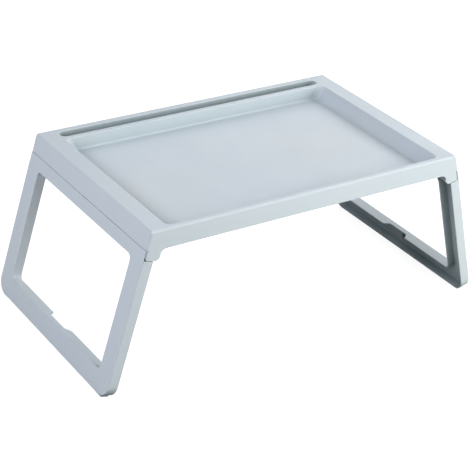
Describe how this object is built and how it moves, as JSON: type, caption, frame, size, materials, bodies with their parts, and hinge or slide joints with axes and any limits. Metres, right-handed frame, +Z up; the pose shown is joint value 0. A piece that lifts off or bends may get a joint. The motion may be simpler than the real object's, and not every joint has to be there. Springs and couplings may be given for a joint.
{
  "type": "folding tray table",
  "caption": "Low lap tray table: recessed rectangular tray with a tablet slot, on two splayed channel-section leg frames that fold flat underneath.",
  "frame": {"origin": "on the floor, under the middle of the tray", "axes": "+X to the right end, +Y to the rear side with the tablet slot, +Z up"},
  "size_m": [0.6908, 0.362, 0.266],
  "materials": {
    "tray_plastic": "fine matte moulding texture",
    "leg_plastic": "fine matte moulding texture",
    "pin_plastic": "smooth",
    "pad_rubber": "matte soft rubber"
  },
  "bodies": {
    "tray_body": {"tray": "tray_plastic"},
    "left_leg": {"left_leg_frame": "leg_plastic", "front_left_hinge_pin": "pin_plastic", "rear_left_hinge_pin": "pin_plastic", "front_left_foot_pad": "pad_rubber", "rear_left_foot_pad": "pad_rubber"},
    "right_leg": {"right_leg_frame": "leg_plastic", "front_right_hinge_pin": "pin_plastic", "rear_right_hinge_pin": "pin_plastic", "front_right_foot_pad": "pad_rubber", "rear_right_foot_pad": "pad_rubber"}
  },
  "joints": [
    {"name": "left_leg_fold", "type": "hinge", "parent": "tray_body", "child": "left_leg", "pos_m": [-0.2675, 0, 0.227], "axis": [0, -1, 0], "range_deg": [0, 105.1]},
    {"name": "right_leg_fold", "type": "hinge", "parent": "tray_body", "child": "right_leg", "pos_m": [0.2675, 0, 0.227], "axis": [0, 1, 0], "range_deg": [0, 105.1]}
  ]
}
